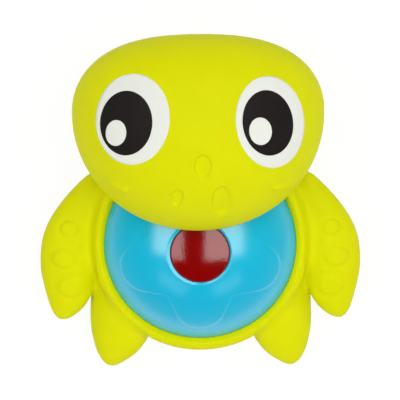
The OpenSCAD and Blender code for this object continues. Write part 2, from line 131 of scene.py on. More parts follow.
table_white = bpy.data.materials.new("table_white")
table_white.use_nodes = True
nodes = table_white.node_tree.nodes
links = table_white.node_tree.links
nodes.clear()
table_out = nodes.new("ShaderNodeOutputMaterial")
table_mix = nodes.new("ShaderNodeMixShader")
table_matte = nodes.new("ShaderNodeBsdfDiffuse")
table_matte.inputs["Color"].default_value = TABLE_PALE
table_glow = nodes.new("ShaderNodeEmission")
ray_kind = nodes.new("ShaderNodeLightPath")
table_place = nodes.new("ShaderNodeTexCoord")
table_far = nodes.new("ShaderNodeVectorMath")
table_far.operation = "LENGTH"
table_fade = nodes.new("ShaderNodeMapRange")
table_fade.interpolation_type = "SMOOTHSTEP"
table_fade.inputs["From Min"].default_value = TABLE_NEAR
table_fade.inputs["From Max"].default_value = TABLE_FAR
table_fade.inputs["To Min"].default_value = TABLE_THROWN
table_fade.inputs["To Max"].default_value = ROOM_EDGE
table_choice = nodes.new("ShaderNodeMix")
table_choice.inputs["B"].default_value = TABLE_WHITE
links.new(table_place.outputs["Object"], table_far.inputs[0])
links.new(table_far.outputs["Value"], table_fade.inputs["Value"])
links.new(table_fade.outputs["Result"], table_choice.inputs["A"])
links.new(ray_kind.outputs["Is Camera Ray"], table_choice.inputs["Factor"])
links.new(table_choice.outputs["Result"], table_glow.inputs["Strength"])
seen_or_thrown = nodes.new("ShaderNodeMath")
seen_or_thrown.operation = "MAXIMUM"
glow_share = nodes.new("ShaderNodeMath")
glow_share.operation = "MULTIPLY"
glow_share.inputs[1].default_value = TABLE_GLOW
links.new(ray_kind.outputs["Is Camera Ray"], seen_or_thrown.inputs[0])
links.new(ray_kind.outputs["Is Glossy Ray"], seen_or_thrown.inputs[1])
links.new(seen_or_thrown.outputs[0], glow_share.inputs[0])
links.new(glow_share.outputs[0], table_mix.inputs["Fac"])
links.new(table_matte.outputs[0], table_mix.inputs[1])
links.new(table_glow.outputs[0], table_mix.inputs[2])
links.new(table_mix.outputs[0], table_out.inputs["Surface"])
table.data.materials.append(table_white)
print("table of", TABLE_SIZE, "metres")

# %% Lamps
LAMP_H = 3.6


def soft_lamp(name, middle, width, depth, bright, turn=0):
    """A flat rectangular lamp that shines straight down, so many times as bright as white."""
    lamp_data = bpy.data.lights.new(name, "AREA")
    lamp_data.shape = "RECTANGLE"
    lamp_data.size = width
    lamp_data.size_y = depth
    lamp_data.energy = bright * math.pi * width * depth
    lamp = bpy.data.objects.new(name, lamp_data)
    lamp.location = middle
    lamp.rotation_euler = (0, 0, math.radians(turn))
    bpy.context.scene.collection.objects.link(lamp)


soft_lamp("left_soft_lamp", (-2.19, 0.98, LAMP_H), 3.0, 4.05, 2.58)
soft_lamp("right_soft_lamp", (1.74, 0.98, LAMP_H), 3.12, 4.05, 2.74)
soft_lamp("left_panel", (-2.4, -3.9, LAMP_H), 2.7, 2.1, 0.6, -25)
soft_lamp("right_panel", (2.4, -4.05, LAMP_H), 2.7, 2.1, 0.6, 25)

# %% Room
WALL_LIGHT = 0.73
WALL_TOP = 0.7
CEILING_LIGHT = 0.1
TAIL_WAY = (0.35, -0.94, 0)
TAIL_LEAN = 0.85
WALL_SEEN_TOP = 0.3
CEILING_SEEN = 0.012

studio = bpy.data.worlds.new("studio")
bpy.context.scene.world = studio
studio.use_nodes = True
nodes = studio.node_tree.nodes
links = studio.node_tree.links
room_glow = nodes["Background"]
room_glow.inputs["Color"].default_value = (1, 1, 1, 1)
room_way = nodes.new("ShaderNodeTexCoord")
room_parts = nodes.new("ShaderNodeSeparateXYZ")
room_shade = nodes.new("ShaderNodeMapRange")
room_shade.interpolation_type = "SMOOTHSTEP"
room_shade.inputs["From Max"].default_value = WALL_TOP
room_shade.inputs["To Min"].default_value = WALL_LIGHT
room_shade.inputs["To Max"].default_value = CEILING_LIGHT
room_seen = nodes.new("ShaderNodeMapRange")
room_seen.interpolation_type = "SMOOTHSTEP"
room_seen.inputs["From Max"].default_value = WALL_SEEN_TOP
room_seen.inputs["To Min"].default_value = ROOM_EDGE
room_seen.inputs["To Max"].default_value = CEILING_SEEN
room_lean = nodes.new("ShaderNodeVectorMath")
room_lean.operation = "DOT_PRODUCT"
room_lean.inputs[1].default_value = TAIL_WAY
room_gain = nodes.new("ShaderNodeMath")
room_gain.operation = "MULTIPLY_ADD"
room_gain.inputs[1].default_value = TAIL_LEAN
room_gain.inputs[2].default_value = 1
room_leaned = nodes.new("ShaderNodeMath")
room_leaned.operation = "MULTIPLY"
room_ray = nodes.new("ShaderNodeLightPath")
room_choice = nodes.new("ShaderNodeMix")
links.new(room_way.outputs["Generated"], room_parts.inputs[0])
links.new(room_parts.outputs["Z"], room_shade.inputs["Value"])
links.new(room_parts.outputs["Z"], room_seen.inputs["Value"])
links.new(room_way.outputs["Generated"], room_lean.inputs[0])
links.new(room_lean.outputs["Value"], room_gain.inputs[0])
links.new(room_shade.outputs["Result"], room_leaned.inputs[0])
links.new(room_gain.outputs[0], room_leaned.inputs[1])
links.new(room_leaned.outputs[0], room_choice.inputs["A"])
links.new(room_seen.outputs["Result"], room_choice.inputs["B"])
links.new(room_ray.outputs["Is Glossy Ray"], room_choice.inputs["Factor"])
links.new(room_choice.outputs["Result"], room_glow.inputs["Strength"])
print("nodes of the room's light:", len(nodes))

# %% [markdown]
# ## A modeller's few habits
# Blender's operators act on whatever is selected, so each step first clears the selection and
# picks its own piece or points. These helpers hold those habits: choose a piece, open it in edit
# mode, pick points by a test, apply a modifier, and spin a half section round the button's axis.

# %% Helpers for editing
WELD = 0.002


def choose(piece):
    """Make one piece the only selected and active one, in object mode."""
    if bpy.context.object and bpy.context.object.mode != "OBJECT":
        bpy.ops.object.mode_set(mode="OBJECT")
    bpy.ops.object.select_all(action="DESELECT")
    bpy.context.view_layer.objects.active = piece
    piece.select_set(True)


def open_all(piece):
    """Open a piece in edit mode with all its points selected."""
    choose(piece)
    bpy.ops.object.mode_set(mode="EDIT")
    bpy.ops.mesh.select_mode(type="VERT")
    bpy.ops.mesh.select_all(action="SELECT")


def open_points(piece, chosen):
    """Open a piece in edit mode with just the chosen points selected."""
    choose(piece)
    bpy.ops.object.mode_set(mode="EDIT")
    bpy.ops.mesh.select_mode(type="VERT")
    bpy.ops.mesh.select_all(action="DESELECT")
    bpy.ops.object.mode_set(mode="OBJECT")
    piece.data.vertices.foreach_set("select", chosen)
    bpy.ops.object.mode_set(mode="EDIT")


def close():
    """Leave edit mode."""
    bpy.ops.object.mode_set(mode="OBJECT")


def points_of(piece):
    """All points of a piece in millimetres, one row each."""
    flat = np.empty(len(piece.data.vertices) * 3)
    piece.data.vertices.foreach_get("co", flat)
    return flat.reshape(-1, 3) / MM


def normals_of(piece):
    """The normals at all points of a piece, one row each."""
    flat = np.empty(len(piece.data.vertices) * 3)
    piece.data.vertices.foreach_get("normal", flat)
    return flat.reshape(-1, 3)


def move_points(piece, points):
    """Give all points of a piece a new place, in millimetres."""
    piece.data.vertices.foreach_set("co", (points * MM).ravel())
    piece.data.update()


def shape_with(piece, kind, **values):
    """Add one modifier to a piece, set it and apply it."""
    choose(piece)
    modifier = piece.modifiers.new(kind.lower(), kind)
    for key, value in values.items():
        setattr(modifier, key, value)
    bpy.ops.object.modifier_apply(modifier=modifier.name)


def spin_section(name, section, steps):
    """Spin a half section, a list of (radius, height), once round the button's axis."""
    mesh = bpy.data.meshes.new(name)
    line = [(r * MM, 0, h * MM) for r, h in section]
    mesh.from_pydata(line, [(i, i + 1) for i in range(len(line) - 1)], [])
    piece = bpy.data.objects.new(name, mesh)
    bpy.context.scene.collection.objects.link(piece)
    open_all(piece)
    bpy.ops.mesh.spin(steps=steps, angle=2 * math.pi, center=(0, 0, 0), axis=(0, 0, 1))
    bpy.ops.mesh.select_all(action="SELECT")
    bpy.ops.mesh.remove_doubles(threshold=WELD * MM)
    bpy.ops.mesh.normals_make_consistent(inside=False)
    close()
    return piece


def arc(middle, radius, start, end, steps=16):
    """Points of a round stretch of a section, from one angle to another in degrees."""
    turns = np.radians(np.linspace(start, end, steps + 1))
    return [(middle[0] + radius * math.cos(a), middle[1] + radius * math.sin(a)) for a in turns]


def emboss(piece, heights):
    """Move every point of a piece along its normal by its own height in millimetres."""
    move_points(piece, points_of(piece) + normals_of(piece) * heights[:, None])


def eased_step(values):
    """A soft step from 0 to 1."""
    share = np.clip(values, 0, 1)
    return share * share * (3 - 2 * share)


def smooth_points(piece, chosen, repeat):
    """Smooth just the chosen points, so many times over."""
    open_points(piece, chosen)
    bpy.ops.mesh.vertices_smooth(factor=0.5, repeat=repeat)
    close()


def report(piece):
    """Print how many points and triangles a piece has."""
    piece.data.calc_loop_triangles()
    points = len(piece.data.vertices)
    triangles = len(piece.data.loop_triangles)
    print(piece.name, "has", points, "points and", triangles, "triangles")


# %% [markdown]
# ## Finishes
# Moulded vinyl is matt with a very fine grain and slightly uneven colour. Hard glossy plastic has
# faint waves that break up a reflection, like orange peel. Both effects are noise at a chosen
# size, so one node group makes them: it puts out an uneven mask and a bump height, and each
# material mixes them in with its own values.

# %% Node group for the uneven skin of moulded plastic
skin = bpy.data.node_groups.new("moulded_skin", "ShaderNodeTree")
skin.interface.new_socket("Patch Size", in_out="INPUT", socket_type="NodeSocketFloat")
skin.interface.new_socket("Grain Size", in_out="INPUT", socket_type="NodeSocketFloat")
skin.interface.new_socket("Unevenness", in_out="OUTPUT", socket_type="NodeSocketFloat")
skin.interface.new_socket("Grain", in_out="OUTPUT", socket_type="NodeSocketFloat")
skin_in = skin.nodes.new("NodeGroupInput")
skin_out = skin.nodes.new("NodeGroupOutput")
place = skin.nodes.new("ShaderNodeTexCoord")
for source, wanted, detail in (("Patch Size", "Unevenness", 3), ("Grain Size", "Grain", 0)):
    per_metre = skin.nodes.new("ShaderNodeMath")
    per_metre.operation = "DIVIDE"
    per_metre.inputs[0].default_value = 1
    noise = skin.nodes.new("ShaderNodeTexNoise")
    noise.inputs["Detail"].default_value = detail
    skin.links.new(skin_in.outputs[source], per_metre.inputs[1])
    skin.links.new(per_metre.outputs[0], noise.inputs["Scale"])
    skin.links.new(place.outputs["Object"], noise.inputs["Vector"])
    skin.links.new(noise.outputs["Fac"], skin_out.inputs[wanted])
print("group outputs:", [s.name for s in skin.interface.items_tree if s.in_out == "OUTPUT"])


# %% Materials
def linear(red, green, blue):
    """An sRGB colour of 0 to 255 as the linear colour that shaders use."""
    parts = [c / 255 for c in (red, green, blue)]
    return [p / 12.92 if p <= 0.04045 else ((p + 0.055) / 1.055) ** 2.4 for p in parts] + [1]


def moulded(name, low, high, patch, grain, depth, rough, **fixed):
    """A moulded material: two close colours and two roughnesses in patches, and a grain with its depth.

    Patches, grain and depth are in millimetres. Further values go to the shader's sockets as they are."""
    material = bpy.data.materials.new(name)
    material.use_nodes = True
    tree = material.node_tree
    shader = tree.nodes["Principled BSDF"]
    group = tree.nodes.new("ShaderNodeGroup")
    group.node_tree = skin
    group.inputs["Patch Size"].default_value = patch * MM
    group.inputs["Grain Size"].default_value = grain * MM
    tint = tree.nodes.new("ShaderNodeMix")
    tint.data_type = "RGBA"
    tint.inputs["A"].default_value = linear(*low)
    tint.inputs["B"].default_value = linear(*high)
    sheen = tree.nodes.new("ShaderNodeMapRange")
    sheen.inputs["To Min"].default_value = rough[0]
    sheen.inputs["To Max"].default_value = rough[1]
    bump = tree.nodes.new("ShaderNodeBump")
    bump.inputs["Distance"].default_value = depth * MM
    tree.links.new(group.outputs["Unevenness"], tint.inputs["Factor"])
    tree.links.new(group.outputs["Unevenness"], sheen.inputs["Value"])
    tree.links.new(group.outputs["Grain"], bump.inputs["Height"])
    tree.links.new(tint.outputs["Result"], shader.inputs["Base Color"])
    tree.links.new(sheen.outputs["Result"], shader.inputs["Roughness"])
    tree.links.new(bump.outputs["Normal"], shader.inputs["Normal"])
    for socket, value in fixed.items():
        shader.inputs[socket.replace("_", " ")].default_value = value
    return material


lime_vinyl = moulded("lime_vinyl", (219, 221, 0), (226, 228, 4), 9, 0.35, 0.02, (0.5, 0.62),
                     Specular_IOR_Level=0.06)
shell_blue = moulded("shell_blue", (8, 188, 226), (14, 194, 230), 14, 2.4, 0.004, (0.18, 0.24),
                     Specular_IOR_Level=0.7, Coat_Weight=1.0, Coat_Roughness=0.2)
button_red = moulded("button_red", (132, 1, 1), (143, 2, 2), 6, 0.6, 0.016, (0.08, 0.11),
                     Specular_IOR_Level=0.85)
ink_white = moulded("ink_white", (234, 236, 226), (239, 240, 232), 5, 0.3, 0.008, (0.5, 0.6),
                    Specular_IOR_Level=0.1)
ink_black = moulded("ink_black", (30, 25, 25), (36, 31, 31), 5, 0.3, 0.008, (0.5, 0.6),
                    Specular_IOR_Level=0.1)
inner_plastic = moulded("inner_plastic", (214, 216, 220), (224, 226, 230), 8, 0.5, 0.01, (0.4, 0.5))
bulb_vinyl = moulded("bulb_vinyl", (226, 221, 202), (236, 231, 214), 7, 0.4, 0.015, (0.45, 0.55))
seal_rubber = moulded("seal_rubber", (50, 50, 54), (60, 60, 64), 5, 0.3, 0.02, (0.6, 0.75))
screw_steel = moulded("screw_steel", (176, 178, 182), (196, 198, 202), 2, 0.15, 0.004, (0.25, 0.4),
                      Metallic=1)
print("materials:", len(bpy.data.materials))


def dress(piece, material, slot, body, *nodes):
    """Give a finished piece its material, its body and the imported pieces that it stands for."""
    piece.data.materials.clear()
    piece.data.materials.append(material)
    choose(piece)
    bpy.ops.object.shade_smooth()
    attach(piece, body)
    if nodes:
        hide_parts(*nodes)
    report(piece)


# %% [markdown]
# ## The body: torso and flippers
# Torso and flippers are one hollow moulding, so no seam shows between them, only a soft valley.
# The torso is a half section spun round: a bowl on a flat belly, with a bead that holds the shell
# and falls away to both sides of its crest.

# %% Torso
TORSO_R = 37.5
BELLY_R = 22
WAIST_H = 20.5
BOWL_R = ((TORSO_R - BELLY_R) ** 2 + WAIST_H ** 2) / (2 * (TORSO_R - BELLY_R))
BOWL_MID_R = TORSO_R - BOWL_R
BEAD_H = 23.35
BEAD_R = 2.25
BEAD_MID_R = TORSO_R - BEAD_R
MOUTH_R = TORSO_R - 2 * BEAD_R
LIP_H = 24.15
CREST_R = 34.7
BEAD_LEAN = 1.45
LIP_LEAN = 1.7
FLANGE_R = 34.9
FLANGE_TOP = 22.5
SHELF_H = 19.6

bowl_angle = math.degrees(math.asin(WAIST_H / BOWL_R))
torso_section = [(0, 0)]
torso_section += arc((BOWL_MID_R, WAIST_H), BOWL_R, -bowl_angle, 0, steps=24)
crest_h = BEAD_H + BEAD_R
torso_section += [(CREST_R + (TORSO_R - CREST_R) * across ** BEAD_LEAN,
                   BEAD_H + BEAD_R * up ** BEAD_LEAN)
                  for across, up in arc((0, 0), 1, 0, 90)]
torso_section += [(CREST_R - (CREST_R - MOUTH_R) * across ** LIP_LEAN,
                   LIP_H + (crest_h - LIP_H) * up ** LIP_LEAN)
                  for across, up in arc((0, 0), 1, 90, 0)]
torso_section += [(MOUTH_R, FLANGE_TOP), (FLANGE_R, FLANGE_TOP), (FLANGE_R, SHELF_H), (0, SHELF_H)]
body = spin_section("vinyl_body", torso_section, steps=128)
report(body)

# %% [markdown]
# A flipper could be a stretched ball, but its outline is a curved leaf, so rings are set along it
# and bridged. Each ring is given by where it meets the leaf's outer and inner edge. The right ones
# are modelled, and copies are mirrored to the left. A front flipper, the arm, sinks towards the
# torso. A rear one, the foot, has the ends of its first rings lower, so that the arm stands over it
# there, and its underside is pressed flat. All four sit turned a little.

# %% Flippers
FRONT_RINGS = [((36, 25.5), (27.5, 15)), ((40.6, 21.6), (29.2, 10.8)), ((44.8, 17.4), (30.7, 6.4)),
               ((48.4, 13.1), (32, 1.8)), ((51.4, 8.9), (32.7, -1.6)), ((53.6, 4.6), (33.1, -4.5)),
               ((55, 0.4), (33.4, -7.4)), ((55.6, -5), (34, -10.2)), ((55.6, -9.5), (35, -12.6)),
               ((55, -13.5), (36.3, -14.9)), ((54, -17.7), (37.4, -18)), ((53, -21.3), (39, -21.5)),
               ((52, -24.6), (41.4, -24.6)), ((50.6, -26.9), (44.2, -26.7)), ((49, -28.1), (46.4, -27.9))]
REAR_RINGS = [((37.5, -7), (24, -9)), ((38.2, -13), (18, -16)), ((38.3, -19), (16, -22)),
              ((38.7, -24.5), (15.5, -28)), ((38.6, -29.5), (16.3, -32)), ((38.2, -33), (18, -34.5)),
              ((37.4, -36.4), (19.5, -36.6)), ((36.8, -38.8), (21.1, -38.8)), ((36, -40.6), (22.8, -40.6)),
              ((34.9, -42.7), (25.7, -42.7)), ((33.5, -44.2), (28.5, -44.2)), ((32, -45), (30, -45))]
REAR_SINKS = (9, 9, 6.5, 2.5, 0.5)
FLIPPER_FLAT = 0.74
FLIPPER_RISE = 8.8
FLIPPER_TURN = Matrix.Rotation(math.radians(0.5), 4, "Z")
FOOT_H = 14.5
FOOT_LOW = 7
FOOT_FLAT = 0.05
ARM_H = 15.5
ARM_DROP = 1.9
ARM_DROP_FROM = 44
ARM_DROP_WIDE = 7


def leaf(name, rings, height, sinks=()):
    """Bridge a row of flat rings, each given by its outer and inner end, into a closed leaf.

    A ring with a sink has its two ends lower by that much, while its top stays."""
    bpy.ops.object.select_all(action="DESELECT")
    for i, (outer, inner) in enumerate(rings):
        wide = (outer[0] - inner[0], outer[1] - inner[1])
        half = math.hypot(*wide) / 2
        sink = sinks[i] if i < len(sinks) else 0
        flat = min(FLIPPER_FLAT, FLIPPER_RISE / half) + sink / half
        spot = ((outer[0] + inner[0]) / 2 * MM, (outer[1] + inner[1]) / 2 * MM, (height - sink) * MM)
        bpy.ops.mesh.primitive_circle_add(vertices=32, radius=half * MM, location=spot,
                                          rotation=(math.pi / 2, 0, math.atan2(wide[1], wide[0])))
        if i == 0:
            choose(bpy.context.object)
            bpy.ops.object.transform_apply(location=True, rotation=True, scale=True)
            bpy.ops.object.mode_set(mode="EDIT")
            bpy.ops.mesh.select_all(action="SELECT")
        bpy.ops.transform.resize(value=(1, 1, flat), center_override=spot)
    bpy.ops.mesh.select_all(action="SELECT")
    bpy.ops.mesh.bridge_edge_loops()
    bpy.ops.mesh.select_all(action="SELECT")
    bpy.ops.mesh.fill_holes(sides=0)
    bpy.ops.mesh.normals_make_consistent(inside=False)
    close()
    piece = bpy.context.object
    piece.name = name
    shape_with(piece, "SUBSURF", levels=2, render_levels=2)
    return piece


def mirrored(piece, name):
    """A copy of a piece on the other side, with its own mesh."""
    choose(piece)
    bpy.ops.object.duplicate()
    copy = bpy.context.object
    copy.name = name
    open_all(copy)
    bpy.ops.transform.resize(value=(-1, 1, 1), center_override=(0, 0, 0))
    bpy.ops.mesh.normals_make_consistent(inside=False)
    close()
    return copy


right_front = leaf("right_front_flipper", FRONT_RINGS, ARM_H)
right_rear = leaf("right_rear_flipper", REAR_RINGS, FOOT_H, REAR_SINKS)
spots = points_of(right_front)
inward = ARM_DROP_FROM - np.hypot(spots[:, 0], spots[:, 1])
spots[:, 2] -= ARM_DROP * eased_step(inward / ARM_DROP_WIDE)
move_points(right_front, spots)
spots = points_of(right_rear)
below = np.minimum(spots[:, 2] - FOOT_LOW, 0)
spots[:, 2] -= below * (1 - FOOT_FLAT)
move_points(right_rear, spots)
leaves = [right_front, right_rear, mirrored(right_front, "left_front_flipper"),
          mirrored(right_rear, "left_rear_flipper")]
for flipper in leaves:
    flipper.data.transform(FLIPPER_TURN)
    report(flipper)

# %% [markdown]
# The five forms overlap. A boolean union would leave a knife-sharp corner between them, while the
# mould has a soft fillet. A voxel remesh wraps one even skin over all of them. Smoothing it in and
# out by turns takes off the voxels' steps without shrinking it much.

# %% One skin over torso and flippers
SKIN_VOXEL = 0.54
SKIN_ROUNDS = 5
SMOOTH_IN = 0.5
SMOOTH_OUT = -0.53

choose(body)
bpy.ops.object.duplicate()
true_torso = bpy.context.object
choose(body)
for flipper in leaves:
    flipper.select_set(True)
bpy.ops.object.join()
shape_with(body, "REMESH", mode="VOXEL", voxel_size=SKIN_VOXEL * MM)
for _ in range(SKIN_ROUNDS):
    shape_with(body, "SMOOTH", factor=SMOOTH_IN, iterations=1)
    shape_with(body, "SMOOTH", factor=SMOOTH_OUT, iterations=1)
report(body)

# %% [markdown]
# More smoothing in the hollows alone rounds the valleys between torso and flippers, as a mould maker
# does. It takes two passes, the deep hollows first. The rim's inside is then pressed back on the spun
# form, because it has to meet the shell cleanly.

# %% Soft valleys
VALLEY_PASSES = ((0.03, 9, 70), (0.01, 7, 40))
VALLEY_FROM = 36
VALLEY_TO = 41.5


def valleys(piece, least, rings):
    """Which points lie in a hollow, where neighbours stand out past them, or a few rings round it."""
    spots = points_of(piece)
    ends = np.empty(len(piece.data.edges) * 2, dtype=int)
    piece.data.edges.foreach_get("vertices", ends)
    ends = ends.reshape(-1, 2)
    total = np.zeros_like(spots)
    count = np.zeros(len(spots))
    for here, there in ((0, 1), (1, 0)):
        np.add.at(total, ends[:, here], spots[ends[:, there]])
        np.add.at(count, ends[:, here], 1)
    low = ((total / count[:, None] - spots) * normals_of(piece)).sum(axis=1) > least
    for _ in range(rings):
        touched = low[ends].any(axis=1)
        low[ends[touched].ravel()] = True
    return low


for depth, rings, repeat in VALLEY_PASSES:
    spots = points_of(body)
    out = np.hypot(spots[:, 0], spots[:, 1])
    hollow = valleys(body, depth, rings) & (out > VALLEY_FROM) & (out < VALLEY_TO)
    smooth_points(body, hollow, repeat)
    print("points smoothed in hollows:", int(hollow.sum()))

# %% Rim pressed back on the spun form
HOLD_TO = 36.3
HOLD_FADE = 0.7
HOLD_ABOVE = 22
HOLD_RISE = 0.8

spots = points_of(body)
out = np.hypot(spots[:, 0], spots[:, 1])
hold = (np.clip((HOLD_TO - out) / HOLD_FADE, 0, 1)
        * np.clip((spots[:, 2] - HOLD_ABOVE) / HOLD_RISE, 0, 1))
rim_inside = body.vertex_groups.new(name="rim_inside")
for i in np.nonzero(hold > 0)[0]:
    rim_inside.add([int(i)], float(hold[i]), "REPLACE")
shape_with(body, "SHRINKWRAP", target=true_torso, wrap_method="NEAREST_SURFACEPOINT",
           vertex_group="rim_inside")
body.vertex_groups.clear()
bpy.data.objects.remove(true_torso)
report(body)

# %% [markdown]
# Three oval pads are raised on each front flipper, each in a shallow groove. A sculpting brush could
# do it, but the ovals have to be clean, so the skin there is subdivided and every point moves along
# its normal by a height that depends on how far it lies from the oval's edge. The pads rise more on
# the outer side, where the flipper slopes down, so that they face up. The ovals are the same on both
# sides, so the test uses the distance from the toy's middle plane. Each oval is given by its middle,
# its two half lengths and its turn in degrees.

# %% Pads on the front flippers
PADS = [(45, 5.4, 3.3, 3, 0), (46.9, -4.8, 4.6, 3.7, 0), (44.9, -15.3, 5.1, 4, 12)]
PAD_H = 0.55
PAD_EDGE = 1.08
PAD_SOFT = 0.5
PAD_GROOVE = 0.22
PAD_LEVEL = 0.7
PAD_FINE = 1.6
PAD_UP = 0.2


def oval_share(spots, pad):
    """How far points lie from an oval's middle, where 1 is its edge, and how far outward of it."""
    x, y, half_x, half_y, turn = pad
    a = math.radians(turn)
    level = spots @ np.array(FLIPPER_TURN.to_3x3())
    dx = np.abs(level[:, 0]) - x
    dy = level[:, 1] - y
    along = dx * math.cos(a) + dy * math.sin(a)
    across = dy * math.cos(a) - dx * math.sin(a)
    return np.hypot(along / half_x, across / half_y), along / half_x


for pad in PADS:
    on_top = normals_of(body)[:, 2] > PAD_UP
    open_points(body, on_top & (oval_share(points_of(body), pad)[0] < PAD_FINE))
    bpy.ops.mesh.subdivide(number_cuts=1, smoothness=0)
    close()
    share, outward = oval_share(points_of(body), pad)
    raised = PAD_H * (1 + PAD_LEVEL * outward) * eased_step((PAD_EDGE - share) / PAD_SOFT)
    pressed = PAD_GROOVE * eased_step(1 - np.abs(share - PAD_EDGE) / PAD_SOFT)
    emboss(body, (raised - pressed) * (normals_of(body)[:, 2] > PAD_UP))
print("pads raised:", 2 * len(PADS))

# %% [markdown]
# The moulding is hollow. Its inside is another spun section, taken out with a boolean, so the wall
# is there for a cut view and the squeaker and the shell's flange have their room.

# %% Hollow inside
SKIN_T = 2.4
SKIRT_R = 30.4
ROOM_SLACK = 0.05

inner_angle = math.degrees(math.asin((WAIST_H - SKIN_T) / (BOWL_R - SKIN_T)))
room_section = [(0, SKIN_T)]
room_section += arc((BOWL_MID_R, WAIST_H), BOWL_R - SKIN_T, -inner_angle, -inner_angle / 4, steps=20)
room_section += [(SKIRT_R, SHELF_H - SKIN_T), (SKIRT_R, SHELF_H + ROOM_SLACK),
                 (FLANGE_R - ROOM_SLACK, SHELF_H + ROOM_SLACK),
                 (FLANGE_R - ROOM_SLACK, FLANGE_TOP - ROOM_SLACK), (0, FLANGE_TOP - ROOM_SLACK)]
room = spin_section("room", room_section, steps=96)
shape_with(body, "BOOLEAN", object=room, operation="DIFFERENCE", solver="EXACT")
bpy.data.objects.remove(room)
dress(body, lime_vinyl, "vinyl_lime", "toy_body", "body_skin")

# %% [markdown]
# ## The head
# The head is a big rounded form, squarer at the forehead than at the chin, which hangs over the
# shell. A ball could be stretched by hand, but a rule for its reach, of the kind that the packed
# model uses, follows the outline more closely: a cube is subdivided and turned into a ball, and each
# point is then moved along its own ray to the head's reach. Where a ray meets the torso, the shell
# or the table first, the point stops there, and the corner between the two is eased so that the chin
# has a soft lip. Only the outside is made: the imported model's head is hollow, and this one is closed.

# %% Head form
HEAD_W = 85.2
HEAD_UP = 24.4
HEAD_DOWN = 40.55
HEAD_DEEP = 35.6
CROWN_SQUARE = 2.4
CHIN_SQUARE = 2.04
SQUARE_MID = 0.18
HEAD_PLACE = np.array([-0.7, 47.9, 33.4])
HEAD_TILT = math.radians(-20.5)
HEAD_TURN = math.radians(2.8)
BALL_R = 40.9012
BALL_H = -0.2012
BODY_GAP = 0.1
CHIN_GAP = 1.6
CHIN_FROM = BEAD_H + 1
LIP_EASE = 2.5
HEAD_CUTS = 79
RAY_STEPS = np.linspace(1, 60, 240)
LEAST_FALL = 0.01
NO_STOP = 1e3

bpy.ops.object.select_all(action="DESELECT")
bpy.ops.mesh.primitive_cube_add(size=2)
head = bpy.context.object
head.name = "vinyl_head"
open_all(head)
bpy.ops.mesh.subdivide(number_cuts=HEAD_CUTS)
bpy.ops.transform.tosphere(value=1)
close()
report(head)


# %% Head reach along each ray
def head_reach(rays):
    """How far the head's outside lies from its middle along unit rays."""
    square = CHIN_SQUARE + (CROWN_SQUARE - CHIN_SQUARE) * eased_step(rays[:, 1] - SQUARE_MID + 0.5)
    tall = np.where(rays[:, 1] > 0, HEAD_UP, HEAD_DOWN)
    total = (np.abs(rays[:, 0] / (HEAD_W / 2)) ** square + np.abs(rays[:, 1] / tall) ** square
             + np.abs(rays[:, 2] / HEAD_DEEP) ** square)
    return total ** (-1 / square)


def room_radius(height):
    """Radius that torso, with its bead taken as round, and shell keep from the head at a height."""
    bowl = BOWL_MID_R + np.sqrt(np.maximum((BOWL_R + BODY_GAP) ** 2 - (WAIST_H - height) ** 2, 0))
    bead = BEAD_MID_R + np.sqrt(np.maximum((BEAD_R + BODY_GAP) ** 2 - (height - BEAD_H) ** 2, 0))
    shell = np.sqrt(np.maximum((BALL_R + CHIN_GAP) ** 2 - (height - BALL_H) ** 2, 0))
    radius = np.where(height < WAIST_H, bowl, np.where(height < BEAD_H, TORSO_R + BODY_GAP, 0))
    at_bead = (height >= BEAD_H) & (height < BEAD_H + BEAD_R + BODY_GAP)
    radius = np.where(at_bead, bead, radius)
    return np.where(height > CHIN_FROM, np.maximum(radius, shell), radius)


def free_way(rays):
    """How far each ray from the head's middle runs before it meets the torso or the shell."""
    way = np.full(len(rays), NO_STOP)
    for step in RAY_STEPS[::-1]:
        spot = HEAD_PLACE + rays * step
        inside = np.hypot(spot[:, 0], spot[:, 1]) < room_radius(spot[:, 2])
        way[inside] = step
    return way


def eased_least(a, b, ease):
    """The smaller of two lengths, with the corner between them rounded."""
    share = np.clip(0.5 + 0.5 * (b - a) / ease, 0, 1)
    return b + (a - b) * share - ease * share * (1 - share)


rays = points_of(head)
rays /= np.linalg.norm(rays, axis=1)[:, None]
turn = np.array(Matrix.Rotation(HEAD_TURN, 3, "Y") @ Matrix.Rotation(HEAD_TILT, 3, "X"))
world_rays = rays @ turn.T
fall = -world_rays[:, 2]
to_table = np.where(fall > LEAST_FALL, HEAD_PLACE[2] / np.maximum(fall, LEAST_FALL), NO_STOP)
reach = eased_least(head_reach(rays), free_way(world_rays), LIP_EASE)
reach = eased_least(reach, to_table, LIP_EASE)
move_points(head, HEAD_PLACE + world_rays * reach[:, None])
print("head from", points_of(head).min(axis=0).round(1), "to", points_of(head).max(axis=0).round(1))

# %% [markdown]
# The snout has three shallow oval dimples and each cheek a short crease, where the skin below steps
# out a little and catches the light. The skin there is first subdivided, so that there are enough
# points for crisp edges. Their places come from the photograph: points are picked by where they
# fall in its picture, and moved along the skin's normals. A dimple is given by its middle, its two
# half lengths and its lean in degrees, a crease by its two ends.

# %% Dimples and creases
FACING_LEAST = 0.15
FINE_BOXES = [((163, 145), (240, 222), 2), ((100, 170), (138, 204), 3), ((263, 170), (302, 204), 3)]
DIMPLES = [(202.5, 167, 9.0, 12.4, 6), (177, 197.5, 6.2, 8.2, 12), (221, 200.5, 9.6, 14.2, 8)]
DIMPLE_DEEP = 0.8
DIMPLE_EDGE = 1.06
DIMPLE_SOFT = 0.3
DIMPLE_LIP = 0.15
DIMPLE_LIP_AT = 1.15
DIMPLE_LIP_WIDE = 0.2
FAR_OFF = 99
CREASES = [((107, 178.5), (128, 189.5)), ((295, 181), (272.5, 187.5))]
CREASE_STEP = 1.0
CREASE_EDGE = 1.6
CREASE_FADE = 16
CREASE_RISE = 0.4


def facing(piece):
    """Which points of a piece face the camera."""
    return normals_of(piece) @ np.array(back) > FACING_LEAST


